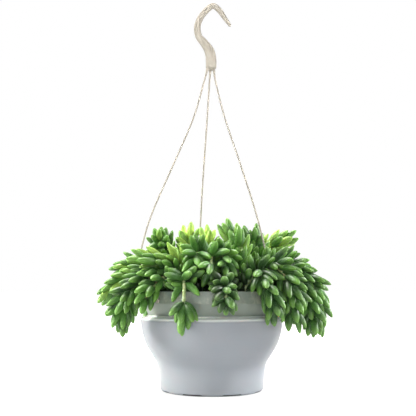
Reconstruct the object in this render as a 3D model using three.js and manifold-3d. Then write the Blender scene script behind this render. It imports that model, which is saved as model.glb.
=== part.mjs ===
// A hanging pot of burro's tail: a plastic pot with potting mix, a moulded three-strand hanger
// with its hook, and leafy succulent stems that stand up, arch over the rim and trail outside it.
// Millimetres, +Z up. Everything is laid out from the pot's underside at height 0, and the whole
// group then moves down so that the origin lies at the seat inside the hook, where the pot hangs.

import * as THREE from 'three';
import { mergeVertices } from 'three/addons/utils/BufferGeometryUtils.js';
import Module from 'manifold-3d';

const wasm = await Module();
wasm.setup();

// ---------------------------------------------------------------- driving dimensions

const POT_HEIGHT = 136;
const WALL = 1.8;
const SHOULDER_RADIUS = 100;
const LIP_RADIUS = 96;
const LIP_FOOT = 120;
const FLOOR = 4;
const FOOT_RADIUS = 69.4;
const FOOT_RISE = 2;
const SLOT_COUNT = 8;
const SLOT_WIDTH = 27;
const SLOT_DEPTH = 12;
const SLOT_FLOOR = 0.4;
const POT_SIDES = 32;
const DRAIN_RADIUS = 5;
const DRAIN_CIRCLE = 45;
const DRAIN_COUNT = 6;
const DRAIN_TURN = 12;
const HOLE_SIDES = 6;
const LIP_HOLE_SIDES = 8;

const SOIL_TOP = 121;
const SOIL_FLOOR = 4.6;
const CLEARANCE = 0.3;

const STRAND_RADIUS = 1.2;
const STRAND_SIDES = 5;
const FLARE = 1.5;
const FLARE_LENGTH = 20;
const HOOK_SIDES = 8;
const HOOK_STEPS = 30;
const HANGER_HOLE_HEIGHT = 124;
const HANGER_HOLE_RADIUS = 2.3;
const SPARE_HOLE_RADIUS = 1.4;
const SPARE_HOLE_TURN = 16;
const PEG_RADIUS = 1.6;
const PEG_INSIDE = 5;
const PEG_SIDES = 6;
const BUTTON_RADIUS = 3.2;
const BUTTON_THICKNESS = 1.6;
const SEAT_HEIGHT = 552;

const STEM_RADIUS = 2.2;
const STEM_FOOT = 10;
const STEM_SIDES = 4;
const STEM_STEP = 10;
const TAPER_LENGTH = 8;
const PATH_PIECES = 8;
const LEAF_SIDES = 4;
const LEAF_RINGS = 3;
const LEAF_LENGTH = 30;
const LEAF_RADIUS = 5.4;
const LEAF_GAP = 0.75;
// Leaves of one stem may press into each other this far.
const OWN_GAP = -0.6;
// Where a leaf's root lies inside the stem, as a fraction of the stem's radius.
const ROOT_DEPTH = 0.2;
const GOLDEN_ANGLE = 2.399963;
const SLIVER = 0.12;
// Stems and leaves of four faces are this much thicker at their corners, to keep their bulk.
const FACET_SWELL = 1.12;

// Direction of each strand's hole, in degrees from the front (-Y) towards the right (+X).
const STRAND_BEARINGS = { left: -48, right: 72, back: 192 };

// ---------------------------------------------------------------- materials

const plastic = (color, roughness) => new THREE.MeshStandardMaterial({ color, roughness, metalness: 0 });
const POT_PLASTIC = plastic('#c3c8ca', 0.4);
const HANGER_PLASTIC = plastic('#e4e2d6', 0.5);
const SOIL_MATTER = plastic('#2c231d', 0.95);
const GREENS = ['#6f9f57', '#7cab5c', '#648f52', '#88b562'];

// ---------------------------------------------------------------- solids and joins

function closedGeometry(geometry) {
  geometry.deleteAttribute('normal');
  geometry.deleteAttribute('uv');
  return mergeVertices(geometry, 1e-5);
}

function toSolid(geometry) {
  const closed = closedGeometry(geometry);
  return new wasm.Manifold(new wasm.Mesh({
    numProp: 3,
    vertProperties: new Float32Array(closed.attributes.position.array),
    triVerts: new Uint32Array(closed.index.array),
  }));
}

function toGeometry(solid) {
  const mesh = solid.getMesh();
  const geometry = new THREE.BufferGeometry();
  const positions = new Float32Array(mesh.vertProperties);
  geometry.setAttribute('position', new THREE.BufferAttribute(positions, 3));
  geometry.setIndex(new THREE.BufferAttribute(new Uint32Array(mesh.triVerts), 1));
  return geometry;
}

function named(name, solid, material) {
  const mesh = new THREE.Mesh(toGeometry(solid), material);
  mesh.name = name;
  return mesh;
}

// One solid of several that meet. Slivers along the joins, finer than SLIVER, are evened out.
function joined(solids) {
  return solids.reduce((whole, solid) => whole.add(solid)).simplify(SLIVER);
}

// A solid of revolution about +Z from a closed outline of [radius, height] pairs.
function turned(outline, sides) {
  const profile = outline.map(([radius, height]) => new THREE.Vector2(radius, height));
  const geometry = new THREE.LatheGeometry(profile, sides);
  geometry.rotateX(Math.PI / 2);
  return toSolid(geometry);
}

// A cylinder from one point to another.
function rod(from, to, radius, sides) {
  const axis = to.clone().sub(from);
  const geometry = new THREE.CylinderGeometry(radius, radius, axis.length(), sides);
  const turn = new THREE.Quaternion().setFromUnitVectors(
    new THREE.Vector3(0, 1, 0),
    axis.clone().normalize(),
  );
  geometry.applyQuaternion(turn);
  const middle = from.clone().add(to).multiplyScalar(0.5);
  geometry.translate(middle.x, middle.y, middle.z);
  return toSolid(geometry);
}

// ---------------------------------------------------------------- paths

// Catmull-Rom point between b and c, with a before them and d after.
function splinePoint(a, b, c, d, f) {
  return b.clone().multiplyScalar(2)
    .addScaledVector(c.clone().sub(a), f)
    .addScaledVector(a.clone().multiplyScalar(2).addScaledVector(b, -5).addScaledVector(c, 4).sub(d), f * f)
    .addScaledVector(b.clone().multiplyScalar(3).sub(a).addScaledVector(c, -3).add(d), f * f * f)
    .multiplyScalar(0.5);
}

// Smooth points through the given ones. The curve leaves the first along 'before' to it.
function smoothPoints(points, before, pieces) {
  const out = [];
  for (let i = 0; i + 1 < points.length; i += 1) {
    const a = i > 0 ? points[i - 1] : before;
    const b = points[i];
    const c = points[i + 1];
    const d = i + 2 < points.length ? points[i + 2] : c.clone().multiplyScalar(2).sub(b);
    for (let k = 0; k < pieces; k += 1) {
      out.push(splinePoint(a, b, c, d, k / pieces));
    }
  }
  out.push(points[points.length - 1].clone());
  return out;
}

// A path holds its points, the distance to each, and for each stretch a tangent and a normal
// that is carried along without twisting.
function makePath(points) {
  const distances = [0];
  const tangents = [];
  const normals = [];
  let normal = new THREE.Vector3(1, 0, 0);
  for (let i = 0; i + 1 < points.length; i += 1) {
    const tangent = points[i + 1].clone().sub(points[i]);
    distances.push(distances[i] + tangent.length());
    tangent.normalize();
    normal = normal.clone().addScaledVector(tangent, -normal.dot(tangent)).normalize();
    tangents.push(tangent);
    normals.push(normal);
  }
  return { points, distances, tangents, normals, length: distances[distances.length - 1] };
}

function placeOnPath(path, distance) {
  let i = 0;
  while (i + 1 < path.tangents.length && path.distances[i + 1] <= distance) {
    i += 1;
  }
  const tangent = path.tangents[i];
  const normal = path.normals[i];
  const point = path.points[i].clone().addScaledVector(tangent, distance - path.distances[i]);
  const left = path.length - distance;
  return { point, tangent, normal, side: tangent.clone().cross(normal), left };
}

// A round bar along a path, with a ring at each of the given distances. radiusAt gives its
// radius there.
function sweep(path, radiusAt, sides, rings) {
  const geometry = new THREE.CylinderGeometry(1, 1, 1, sides, rings.length - 1);
  const position = geometry.attributes.position;
  for (let i = 0; i < position.count; i += 1) {
    const ring = Math.round((position.getY(i) + 0.5) * (rings.length - 1));
    const place = placeOnPath(path, rings[ring]);
    const radius = radiusAt(rings[ring]);
    const point = place.point
      .addScaledVector(place.normal, position.getZ(i) * radius)
      .addScaledVector(place.side, position.getX(i) * radius);
    position.setXYZ(i, point.x, point.y, point.z);
  }
  return toSolid(geometry);
}

// Distances from 'from' to 'to' in equal steps.
function evenly(from, to, steps) {
  return Array.from({ length: steps + 1 }, (_, i) => from + ((to - from) * i) / steps);
}

// ---------------------------------------------------------------- pot

// Outer outline, from the underside up: flat foot, concave waist, round shoulder, sloping ledge,
// flared collar and upright lip.
const OUTER = [
  [FOOT_RADIUS, 0], [FOOT_RADIUS + 0.2, FOOT_RISE - 0.3], [70.7, FOOT_RISE], [71.2, FOOT_RISE + 0.8],
  [74.3, 27], [76.7, 38], [83.3, 49], [91.6, 63], [97.3, 80],
  [SHOULDER_RADIUS, 96.4], [98.6, 100.2], [89.2, 103.2],
  [LIP_RADIUS, LIP_FOOT], [LIP_RADIUS, POT_HEIGHT],
];

// Inner outline, from the rim down to the floor.
const INNER = [
  [LIP_RADIUS - WALL, POT_HEIGHT], [LIP_RADIUS - WALL, LIP_FOOT + 0.6], [85.6, 102],
  [85.6, 99.9], [97.8, 99], [98, 96.8], [95.5, 80.5], [89.9, 64], [81.6, 50.1], [75, 39],
  [72.5, 27.5], [69.6, FLOOR],
];

function bearingDirection(degrees) {
  const angle = THREE.MathUtils.degToRad(degrees);
  return new THREE.Vector3(Math.sin(angle), -Math.cos(angle), 0);
}

function holeAxisPoint(bearing, radius) {
  return bearingDirection(bearing).multiplyScalar(radius).setZ(HANGER_HOLE_HEIGHT);
}

function lipHole(bearing, radius) {
  const inside = holeAxisPoint(bearing, LIP_RADIUS - 4 * WALL);
  return rod(inside, holeAxisPoint(bearing, LIP_RADIUS + 4 * WALL), radius, LIP_HOLE_SIDES);
}

function drainHole(index) {
  const place = bearingDirection((360 / DRAIN_COUNT) * index + DRAIN_TURN);
  place.multiplyScalar(DRAIN_CIRCLE);
  return rod(place.clone().setZ(-FLOOR), place.clone().setZ(2 * FLOOR), DRAIN_RADIUS, HOLE_SIDES);
}

// A low slot let into the side of the foot.
function footSlot(index) {
  const bearing = (360 / SLOT_COUNT) * (index + 0.5);
  const geometry = new THREE.BoxGeometry(SLOT_WIDTH, 2 * SLOT_DEPTH, FOOT_RISE - SLOT_FLOOR);
  geometry.rotateZ(THREE.MathUtils.degToRad(bearing));
  const middle = bearingDirection(bearing).multiplyScalar(FOOT_RADIUS);
  geometry.translate(middle.x, middle.y, (FOOT_RISE + SLOT_FLOOR) / 2);
  return toSolid(geometry);
}

function makePot() {
  let pot = turned([[0, 0], ...OUTER, ...INNER, [0, FLOOR]], POT_SIDES);
  for (let i = 0; i < SLOT_COUNT; i += 1) {
    pot = pot.subtract(footSlot(i));
  }
  for (let i = 0; i < DRAIN_COUNT; i += 1) {
    pot = pot.subtract(drainHole(i));
  }
  for (const bearing of Object.values(STRAND_BEARINGS)) {
    pot = pot.subtract(lipHole(bearing, HANGER_HOLE_RADIUS));
    pot = pot.subtract(lipHole(bearing + SPARE_HOLE_TURN, SPARE_HOLE_RADIUS));
  }
  return named('pot', pot, POT_PLASTIC);
}

// ---------------------------------------------------------------- hanger

// Hook, from its free tip over the top and down to the end that the strands leave: x, z, radius.
const HOOK = [
  [28, 525, 2.2], [19.1, 538.4, 3.2], [10.5, 551, 4.1], [1.7, 556.6, 4.5], [-6.8, 550.6, 4.6],
  [-16, 539.1, 4.7], [-21, 525, 4.9], [-19, 510, 5.2], [-10.5, 499, 6.1], [-3.2, 487, 7.5],
  [-0.8, 474, 7.9], [-1, 459, 7.7],
];

// Strands, from inside the hook's lower end to just inside the lip.
const STRANDS = {
  left: [
    [-5.2, -0.8, 464], [-11.2, -3, 440], [-26.7, -11, 383], [-55.9, -20, 311],
    [-84.1, -29, 242], [-97, -34, 194], [-95.5, -39, 173], [-88, -46, 157],
    [-77, -54, 146], [-67.6, -60, 132],
  ],
  right: [
    [2.6, -0.6, 464], [6, -1.5, 440], [19.2, -6.2, 385], [41.7, -12.4, 314], [62.7, -18.6, 244],
    [78, -24.8, 176.6], [87, -28.3, 131],
  ],
  back: [
    [-1.6, 3.4, 464], [-3.3, 6.5, 440], [-8, 26, 370], [-13.9, 49, 288], [-18, 72, 207],
    [-18.8, 88.6, 133],
  ],
};

// A path through points that leaves the first one towards the second.
function openPath(points) {
  const before = points[0].clone().multiplyScalar(2).sub(points[1]);
  return makePath(smoothPoints(points, before, PATH_PIECES));
}

function strandPath(name) {
  return openPath(STRANDS[name].map((point) => new THREE.Vector3(...point)));
}

// The hook's radius between its stations, which lie about equally far apart.
function hookRadius(fraction) {
  const place = fraction * (HOOK.length - 1);
  const station = Math.min(HOOK.length - 2, Math.floor(place));
  return THREE.MathUtils.lerp(HOOK[station][2], HOOK[station + 1][2], place - station);
}

function makeHook() {
  const path = openPath(HOOK.map(([x, z]) => new THREE.Vector3(x, 0, z)));
  const radiusAt = (distance) => hookRadius(distance / path.length);
  return sweep(path, radiusAt, HOOK_SIDES, evenly(0, path.length, HOOK_STEPS));
}

// One strand with a flared root, a peg through the lip's hole and a button outside the lip.
function makeStrand(name) {
  const path = strandPath(name);
  const radiusAt = (distance) => STRAND_RADIUS + FLARE * Math.max(0, 1 - distance / FLARE_LENGTH);
  const rings = evenly(0, path.length, 2 * STRANDS[name].length);
  const bearing = STRAND_BEARINGS[name];
  const end = path.points[path.points.length - 1];
  const inside = holeAxisPoint(bearing, LIP_RADIUS - PEG_INSIDE);
  const outside = holeAxisPoint(bearing, LIP_RADIUS + CLEARANCE);
  const cap = holeAxisPoint(bearing, LIP_RADIUS + CLEARANCE + BUTTON_THICKNESS);
  return joined([
    sweep(path, radiusAt, STRAND_SIDES, rings),
    rod(end, inside, STRAND_RADIUS, STRAND_SIDES),
    rod(inside, outside.clone().lerp(cap, 0.5), PEG_RADIUS, PEG_SIDES),
    rod(outside, cap, BUTTON_RADIUS, PEG_SIDES),
  ]);
}

function makeHanger() {
  const pieces = [makeHook(), ...Object.keys(STRANDS).map(makeStrand)];
  return named('hanger', joined(pieces), HANGER_PLASTIC);
}

// ---------------------------------------------------------------- leafy stems

// One row for each stem: name; where it stands in the mix; the points that it then passes; bare
// length above the mix; number of leaves; how they crowd towards the tip, more so below 1; leaf
// length's scale; the leaves' spread from the stem at its base and at its tip, in degrees; how
// far they droop; seed.
const STEMS = [
  ['tail_front_right_inner', [34, -46],
    [[60, -62, 162], [65, -78, 154], [74, -88, 137], [78, -90, 116]],
    12, 13, 0.8, 1, 66, 42, 0.5, 41],
  ['tail_front_right', [44, -20],
    [[69, -36, 162], [84, -50, 170], [97, -62, 156], [104, -71, 135], [106, -74, 108]],
    8, 20, 0.8, 1.05, 64, 34, 0.5, 11],
  ['tail_front_right_outer', [54, -14],
    [[100, -24, 166], [117, -40, 156], [127, -48, 135], [133, -52, 114], [135, -53, 98]],
    18, 15, 0.8, 1, 62, 34, 0.4, 36],
  ['tail_left', [-40, -30],
    [[-54, -44, 165], [-73, -52, 161], [-91, -59, 151], [-106, -65, 137], [-116, -69, 118],
     [-121, -70, 101]],
    14, 21, 0.8, 1.05, 70, 42, 0.6, 12],
  ['branch_left_front', [-48, -48],
    [[-62, -58, 153], [-73, -70, 147], [-82, -80, 137], [-88, -84, 126]],
    10, 8, 0.8, 0.9, 66, 34, 0.6, 35],
  ['hanging_front_left', [-31, -66],
    [[-37, -78, 150], [-36, -96, 143], [-36, -104, 125], [-36, -105, 103]],
    16, 20, 0.6, 1, 74, 24, 0.3, 13],
  ['hanging_front', [14, -66],
    [[16, -82, 143], [16, -98, 142], [17, -110, 132], [17, -117, 122]],
    32, 9, 0.8, 0.74, 84, 44, 0.2, 14],
  ['tail_right', [62, 0],
    [[101, -6, 169], [120, -18, 164], [134, -28, 150], [142, -34, 127], [144, -36, 99]],
    18, 20, 0.8, 1.05, 62, 34, 0.4, 15],
  ['arch_front_left', [-8, -20],
    [[-11, -30, 176], [-18, -46, 188], [-21, -62, 183], [-23, -70, 170]],
    26, 11, 0.8, 1, 84, 44, 0.6, 16],
  ['arch_front_right', [14, -18],
    [[9, -28, 174], [14, -44, 184], [16, -60, 181], [17, -70, 167]],
    26, 11, 0.8, 1, 84, 44, 0.6, 42],
  ['arch_front', [3, -30],
    [[-3, -40, 171], [-1, -56, 182], [-1, -74, 177], [-1, -84, 163]],
    22, 11, 0.8, 1, 84, 44, 0.6, 44],
  ['branch_right', [58, 20],
    [[93, 14, 172], [109, 8, 174], [123, 0, 169]],
    20, 12, 0.8, 1, 58, 36, 0.2, 17],
  ['branch_upper_right', [42, 26],
    [[65, 30, 182], [80, 30, 195], [94, 28, 203], [104, 26, 206]],
    26, 15, 0.75, 1.05, 66, 34, 0, 18],
  ['upright_front', [22, -22],
    [[35, -24, 168], [34, -22, 196], [27, -20, 216]],
    28, 11, 0.8, 1.15, 60, 22, 0, 19],
  ['upright_right', [40, 4],
    [[58, 4, 175], [61, 4, 193], [58, 3, 208]],
    32, 11, 0.75, 1.1, 66, 28, 0, 20],
  ['upright_centre', [-2, 12],
    [[-10, 14, 181], [-8, 12, 198], [-8, 10, 208]],
    32, 11, 0.7, 0.95, 66, 34, 0, 21],
  ['upright_centre_left', [-20, 10],
    [[-23, 18, 178], [-32, 22, 199], [-34, 22, 212]],
    30, 12, 0.7, 1.05, 64, 28, 0, 43],
  ['upright_left', [-46, 22],
    [[-63, 20, 178], [-70, 12, 201], [-72, -4, 209]],
    26, 14, 0.6, 0.9, 92, 40, -0.3, 22],
  ['branch_left_upper', [-24, -14],
    [[-36, -24, 166], [-52, -38, 173], [-70, -50, 174], [-90, -56, 174]],
    20, 14, 0.8, 1.15, 44, 20, 0, 23],
  ['branch_left', [-58, 4],
    [[-74, 0, 169], [-99, -4, 172], [-123, -6, 167]],
    20, 11, 0.8, 1, 52, 32, 0.2, 24],
  ['branch_far_left', [-64, -12],
    [[-78, -14, 159], [-104, -18, 156], [-128, -20, 148], [-141, -21, 137]],
    16, 14, 0.8, 1, 58, 34, 0.4, 25],
  ['shoot_front_right', [44, -54],
    [[46, -60, 148], [47, -64, 162]],
    6, 5, 0.9, 0.6, 60, 40, 0, 26],
  ['tail_back', [5, 52],
    [[8, 74, 152], [10, 97, 149], [11, 110, 126], [11, 113, 104]],
    10, 11, 0.85, 1, 62, 34, 0.4, 27],
  ['tail_back_left', [-44, 44],
    [[-60, 62, 152], [-76, 80, 149], [-86, 90, 126], [-89, 93, 104]],
    10, 11, 0.85, 1, 62, 34, 0.4, 28],
  ['tail_back_right', [48, 46],
    [[64, 60, 152], [80, 75, 149], [90, 86, 126], [93, 89, 104]],
    10, 11, 0.85, 1, 62, 34, 0.4, 29],
  ['branch_right_back', [64, 34],
    [[86, 42, 158], [108, 46, 164], [123, 48, 154], [130, 49, 140]],
    12, 9, 0.85, 1, 60, 34, 0.3, 30],
  ['branch_left_back', [-66, 26],
    [[-88, 34, 156], [-109, 38, 160], [-122, 40, 148], [-128, 40, 134]],
    12, 9, 0.85, 1, 60, 34, 0.3, 31],
  ['upright_back', [14, 34],
    [[17, 40, 156], [19, 44, 176]],
    14, 7, 0.85, 1, 60, 34, 0, 32],
  ['upright_back_left', [-24, 36],
    [[-32, 46, 156], [-37, 52, 176]],
    14, 7, 0.85, 1, 60, 34, 0, 33],
];

// Stretches with no leaves, as shares of a stem's leafy length.
const BARE = { hanging_front_left: [0.4, 0.76] };

const straightUp = (point, rise) => point.clone().add(new THREE.Vector3(0, 0, rise));

function lehmer(seed) {
  let state = seed * 7919 + 17;
  return () => {
    state = (state * 48271) % 2147483647;
    return state / 2147483647;
  };
}

function stemPath([x, y], through) {
  const start = new THREE.Vector3(x, y, SOIL_TOP + 1);
  const points = [start, ...through.map((point) => new THREE.Vector3(...point))];
  const smooth = smoothPoints(points, straightUp(start, -2 * STEM_FOOT), PATH_PIECES);
  return makePath([straightUp(start, -1 - STEM_FOOT), ...smooth]);
}

// A stem's radius, which tapers by half over the last length that is left to its tip.
function stemRadius(left) {
  return STEM_RADIUS * Math.min(1, 0.5 + (0.5 * left) / TAPER_LENGTH);
}

// Thickness of a leaf along its length, as a fraction of its radius: a neck, a plump middle and
// a blunt point.
function leafProfile(t) {
  const neck = 0.3 + 0.7 * Math.sin(0.5 * Math.PI * Math.min(1, t / 0.42));
  return neck * (1 - t ** 5) ** 0.68;
}

// Point on a leaf's centre line, which bends towards the stem's tip and droops.
function leafPoint(leaf, t) {
  return leaf.root.clone()
    .addScaledVector(leaf.direction, leaf.length * t)
    .addScaledVector(leaf.bend, leaf.length * leaf.curl * t * t);
}

// Balls stand in for what is already in place, so that a new leaf can be kept clear of it. Each
// is [x, y, z, radius, owner, rank]: rank 0 is a stem or strand, higher ranks lie further out
// along a leaf.
const LEAF_BALLS = [0.28, 0.45, 0.62, 0.79, 0.93];
const MIDDLE_BALL = 2;
const BALL_STEP = 3;
const REACH = 32;
const HANGER_OWNER = -1;

function barBalls(path, radius, owner) {
  const balls = [];
  for (let distance = 0; distance <= path.length; distance += BALL_STEP) {
    balls.push([...placeOnPath(path, distance).point.toArray(), radius, owner, 0]);
  }
  return balls;
}

function leafBalls(leaf, owner) {
  return LEAF_BALLS.map((t, i) => (
    [...leafPoint(leaf, t).toArray(), leaf.radius * leafProfile(t), owner, i + 1]
  ));
}

// Gap between a ball and the pot's wall, or the mix when the ball is inside the rim.
function potGap([x, y, z, radius]) {
  const r = Math.hypot(x, y) + WALL / 2;
  let nearest = Infinity;
  for (let i = 0; i + 1 < OUTER.length; i += 1) {
    const [r0, z0] = OUTER[i];
    const dr = OUTER[i + 1][0] - r0;
    const dz = OUTER[i + 1][1] - z0;
    const along = ((r - r0) * dr + (z - z0) * dz) / (dr * dr + dz * dz);
    const f = THREE.MathUtils.clamp(along, 0, 1);
    nearest = Math.min(nearest, Math.hypot(r - r0 - dr * f, z - z0 - dz * f));
  }
  const wallGap = nearest - WALL / 2 - radius;
  const inside = r < LIP_RADIUS - WALL / 2;
  return inside ? Math.min(wallGap, z - radius - SOIL_TOP) : wallGap;
}

// Whether a leaf's balls stay clear of other pieces, and only press lightly on its own stem's.
function fits(balls, owner, placed) {
  if (balls.some((ball) => potGap(ball) < LEAF_GAP)) {
    return false;
  }
  const middle = balls[MIDDLE_BALL];
  for (const other of placed) {
    const far = Math.max(
      Math.abs(other[0] - middle[0]),
      Math.abs(other[1] - middle[1]),
      Math.abs(other[2] - middle[2]),
    );
    if (far < REACH && balls.some((ball) => tooClose(ball, other, owner))) {
      return false;
    }
  }
  return true;
}

function tooClose(ball, other, owner) {
  const distance = Math.hypot(ball[0] - other[0], ball[1] - other[1], ball[2] - other[2]);
  const gap = distance - ball[3] - other[3];
  if (other[4] !== owner) {
    return gap < LEAF_GAP;
  }
  const rank = ball[5];
  return other[5] === 0 ? rank >= 3 && gap < CLEARANCE : other[5] >= 2 && rank >= 2 && gap < OWN_GAP;
}

// Ways to give way to a neighbour, from the least change to the most: the leaf's size, its
// change of spread and its turn round the stem.
const SIZES = [1, 0.9, 0.8];
const TILTS = [0, -0.26, 0.26, -0.5, 0.5];
const TURNS = [0, 0.3, -0.3, 0.6, -0.6];

function turnedLeaf(place, spread, turn, wish) {
  const outward = place.normal.clone().multiplyScalar(Math.cos(turn))
    .addScaledVector(place.side, Math.sin(turn));
  const direction = place.tangent.clone().multiplyScalar(Math.cos(spread))
    .addScaledVector(outward, Math.sin(spread));
  const pull = straightUp(place.tangent, -wish.droop);
  const bend = pull.clone().addScaledVector(direction, -pull.dot(direction)).normalize();
  const root = place.point.clone().addScaledVector(outward, ROOT_DEPTH * stemRadius(place.left));
  return { root, direction, bend, length: wish.length, radius: wish.radius, curl: wish.curl };
}

function fittedLeaf(place, wish, owner, placed) {
  for (const size of SIZES) {
    for (const tilt of TILTS) {
      for (const turn of TURNS) {
        const spread = THREE.MathUtils.clamp(wish.spread + tilt, 0.15, 1.7);
        const sized = { ...wish, length: wish.length * size, radius: wish.radius * (0.55 + 0.45 * size) };
        const leaf = turnedLeaf(place, spread, wish.turn + turn, sized);
        const balls = leafBalls(leaf, owner);
        if (fits(balls, owner, placed)) {
          placed.push(...balls);
          return leaf;
        }
      }
    }
  }
  return null;
}

// The leaf that a stem would have at share u of its leafy length, if nothing stood in its way.
function wishedLeaf(row, u, k, phase, random) {
  const [, , , , , , scale, baseSpread, tipSpread, droop] = row;
  const turn = phase + k * GOLDEN_ANGLE + (random() - 0.5) * 0.3;
  const degrees = baseSpread + (tipSpread - baseSpread) * u ** 1.5;
  const spread = THREE.MathUtils.degToRad(degrees) + (random() - 0.5) * 0.2;
  const young = 1 - 0.18 * Math.max(0, u - 0.7) / 0.3;
  const length = LEAF_LENGTH * scale * (0.9 + 0.2 * random()) * young;
  const radius = LEAF_RADIUS * (0.92 + 0.16 * random());
  const curl = 0.2 + 0.14 * random();
  return { turn, spread, length, radius, curl, droop };
}

function isBare(name, u) {
  return name in BARE && BARE[name][0] < u && u < BARE[name][1];
}

// The leaves of one stem, in a golden-angle spiral from its base to its tip.
function growLeaves(path, row, owner, placed) {
  const [name, , , bare, count, crowd] = row;
  const seed = row[row.length - 1];
  const random = lehmer(seed);
  const phase = random() * 2 * Math.PI;
  const start = STEM_FOOT + bare;
  const run = path.length - start - 1;
  const leaves = [];
  for (let k = 0; k < count; k += 1) {
    const u = (k / (count - 1)) ** crowd;
    const place = placeOnPath(path, start + run * u);
    const wish = wishedLeaf(row, u, k, phase, random);
    const leaf = isBare(name, u) ? null : fittedLeaf(place, wish, owner, placed);
    if (leaf) {
      leaves.push(leaf);
    }
  }
  return leaves;
}

// A leaf is a ball of few faces drawn out along its centre line.
function leafSolid(leaf) {
  const geometry = new THREE.SphereGeometry(1, LEAF_SIDES, LEAF_RINGS);
  const position = geometry.attributes.position;
  const side = leaf.direction.clone().cross(leaf.bend);
  for (let i = 0; i < position.count; i += 1) {
    const t = (0.5 - 0.5 * position.getY(i)) ** 0.75;
    const around = Math.atan2(position.getZ(i), position.getX(i));
    const atPole = Math.abs(Math.abs(position.getY(i)) - 1) < 1e-6;
    const radius = atPole ? 0 : leaf.radius * leafProfile(t) * FACET_SWELL;
    const point = leafPoint(leaf, t)
      .addScaledVector(side, -Math.cos(around) * radius)
      .addScaledVector(leaf.bend, Math.sin(around) * radius);
    position.setXYZ(i, point.x, point.y, point.z);
  }
  return toSolid(geometry);
}

function stemSolid(path) {
  const taper = (distance) => stemRadius(path.length - distance) * FACET_SWELL;
  const steps = Math.round((path.length - STEM_FOOT) / STEM_STEP);
  return sweep(path, taper, STEM_SIDES, [0, ...evenly(STEM_FOOT + 1, path.length, steps)]);
}

function makeStems() {
  const paths = STEMS.map(([, foot, through]) => stemPath(foot, through));
  const placed = paths.flatMap((path, owner) => barBalls(path, STEM_RADIUS, owner));
  for (const name of Object.keys(STRANDS)) {
    placed.push(...barBalls(strandPath(name), STRAND_RADIUS, HANGER_OWNER));
  }
  return STEMS.map((row, owner) => {
    const leaves = growLeaves(paths[owner], row, owner, placed);
    const solid = joined([stemSolid(paths[owner]), ...leaves.map(leafSolid)]);
    return named(row[0], solid, plastic(GREENS[owner % GREENS.length], 0.55));
  });
}

// ---------------------------------------------------------------- potting mix

// The mix fills the pot from its floor to SOIL_TOP, a clearance inside the wall.
function soilOutline() {
  const body = [[69, SOIL_FLOOR], [72.1, 27.5], [74.5, 39], [89.3, 64], [95, 80.5], [97.5, 96.8]];
  const collar = [[85.2, 98.8], [85.2, 102.2], [LIP_RADIUS - WALL - 0.5, SOIL_TOP]];
  return [[0, SOIL_FLOOR], ...body, ...collar, [0, SOIL_TOP]];
}

function makeSoil() {
  let soil = turned(soilOutline(), POT_SIDES);
  for (const [, [x, y]] of STEMS) {
    const floor = new THREE.Vector3(x, y, SOIL_TOP - STEM_FOOT - CLEARANCE);
    soil = soil.subtract(rod(floor, straightUp(floor, STEM_FOOT + 4), STEM_RADIUS + 0.9, HOLE_SIDES));
  }
  return named('potting_mix', soil, SOIL_MATTER);
}

// ---------------------------------------------------------------- the whole

const pottedPlant = new THREE.Group();
pottedPlant.add(makePot(), makeSoil(), makeHanger(), ...makeStems());
pottedPlant.position.z = -SEAT_HEIGHT;

export default pottedPlant;
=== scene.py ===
import math

import bpy
import bmesh
import numpy as np
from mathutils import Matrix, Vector


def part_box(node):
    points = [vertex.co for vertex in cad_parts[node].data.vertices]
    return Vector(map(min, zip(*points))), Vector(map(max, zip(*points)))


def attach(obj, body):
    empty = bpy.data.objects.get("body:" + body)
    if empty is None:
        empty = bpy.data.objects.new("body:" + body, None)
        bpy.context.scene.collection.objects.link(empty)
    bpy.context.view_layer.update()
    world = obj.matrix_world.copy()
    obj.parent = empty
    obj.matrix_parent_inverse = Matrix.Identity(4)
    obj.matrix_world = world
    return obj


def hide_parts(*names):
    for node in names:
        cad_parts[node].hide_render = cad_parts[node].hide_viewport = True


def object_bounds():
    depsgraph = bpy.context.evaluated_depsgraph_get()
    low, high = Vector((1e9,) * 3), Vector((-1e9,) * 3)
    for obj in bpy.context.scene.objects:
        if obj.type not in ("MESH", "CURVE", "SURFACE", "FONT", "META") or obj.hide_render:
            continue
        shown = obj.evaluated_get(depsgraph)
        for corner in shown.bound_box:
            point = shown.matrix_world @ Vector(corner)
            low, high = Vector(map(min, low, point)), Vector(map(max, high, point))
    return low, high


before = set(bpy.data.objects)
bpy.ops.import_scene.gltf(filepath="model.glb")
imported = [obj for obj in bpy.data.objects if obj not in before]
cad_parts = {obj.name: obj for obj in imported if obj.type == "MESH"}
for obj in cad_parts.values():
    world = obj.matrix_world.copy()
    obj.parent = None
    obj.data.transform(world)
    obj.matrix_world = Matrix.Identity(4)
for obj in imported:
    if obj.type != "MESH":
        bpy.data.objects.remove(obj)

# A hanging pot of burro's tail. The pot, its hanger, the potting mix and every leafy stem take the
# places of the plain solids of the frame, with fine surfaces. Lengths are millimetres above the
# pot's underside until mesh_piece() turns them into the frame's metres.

CAD_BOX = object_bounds()
MM = 0.001
BASE_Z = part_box("pot")[0].z
BOX_LOW, BOX_HIGH = ((np.array(corner) - (0, 0, BASE_Z)) / MM for corner in CAD_BOX)

# ------------------------------------------------------------------ dimensions

POT_HEIGHT = 136
WALL = 1.8
FLOOR = 4
FOOT_RADIUS = 69.4
FOOT_RISE = 2
SLOT_FLOOR = 0.4
SLOT_COUNT = 8
SLOT_WIDTH = 27
SLOT_DEPTH = 12
SHOULDER_RADIUS = 100
LEDGE_EDGE = (98.6, 100.2)
LEDGE_CREASE = (89.2, 103.2)
LIP_RADIUS = 96
LIP_FOOT = 120
POT_SIDES = 160
LEDGE_ROUNDING = 2.4
CORNER_ROUNDING = 0.7
DRAIN_RADIUS = 5
DRAIN_CIRCLE = 45
DRAIN_COUNT = 6
DRAIN_TURN = 12

SOIL_TOP = 121
SOIL_FLOOR = 4.6
CLEARANCE = 0.3

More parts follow.
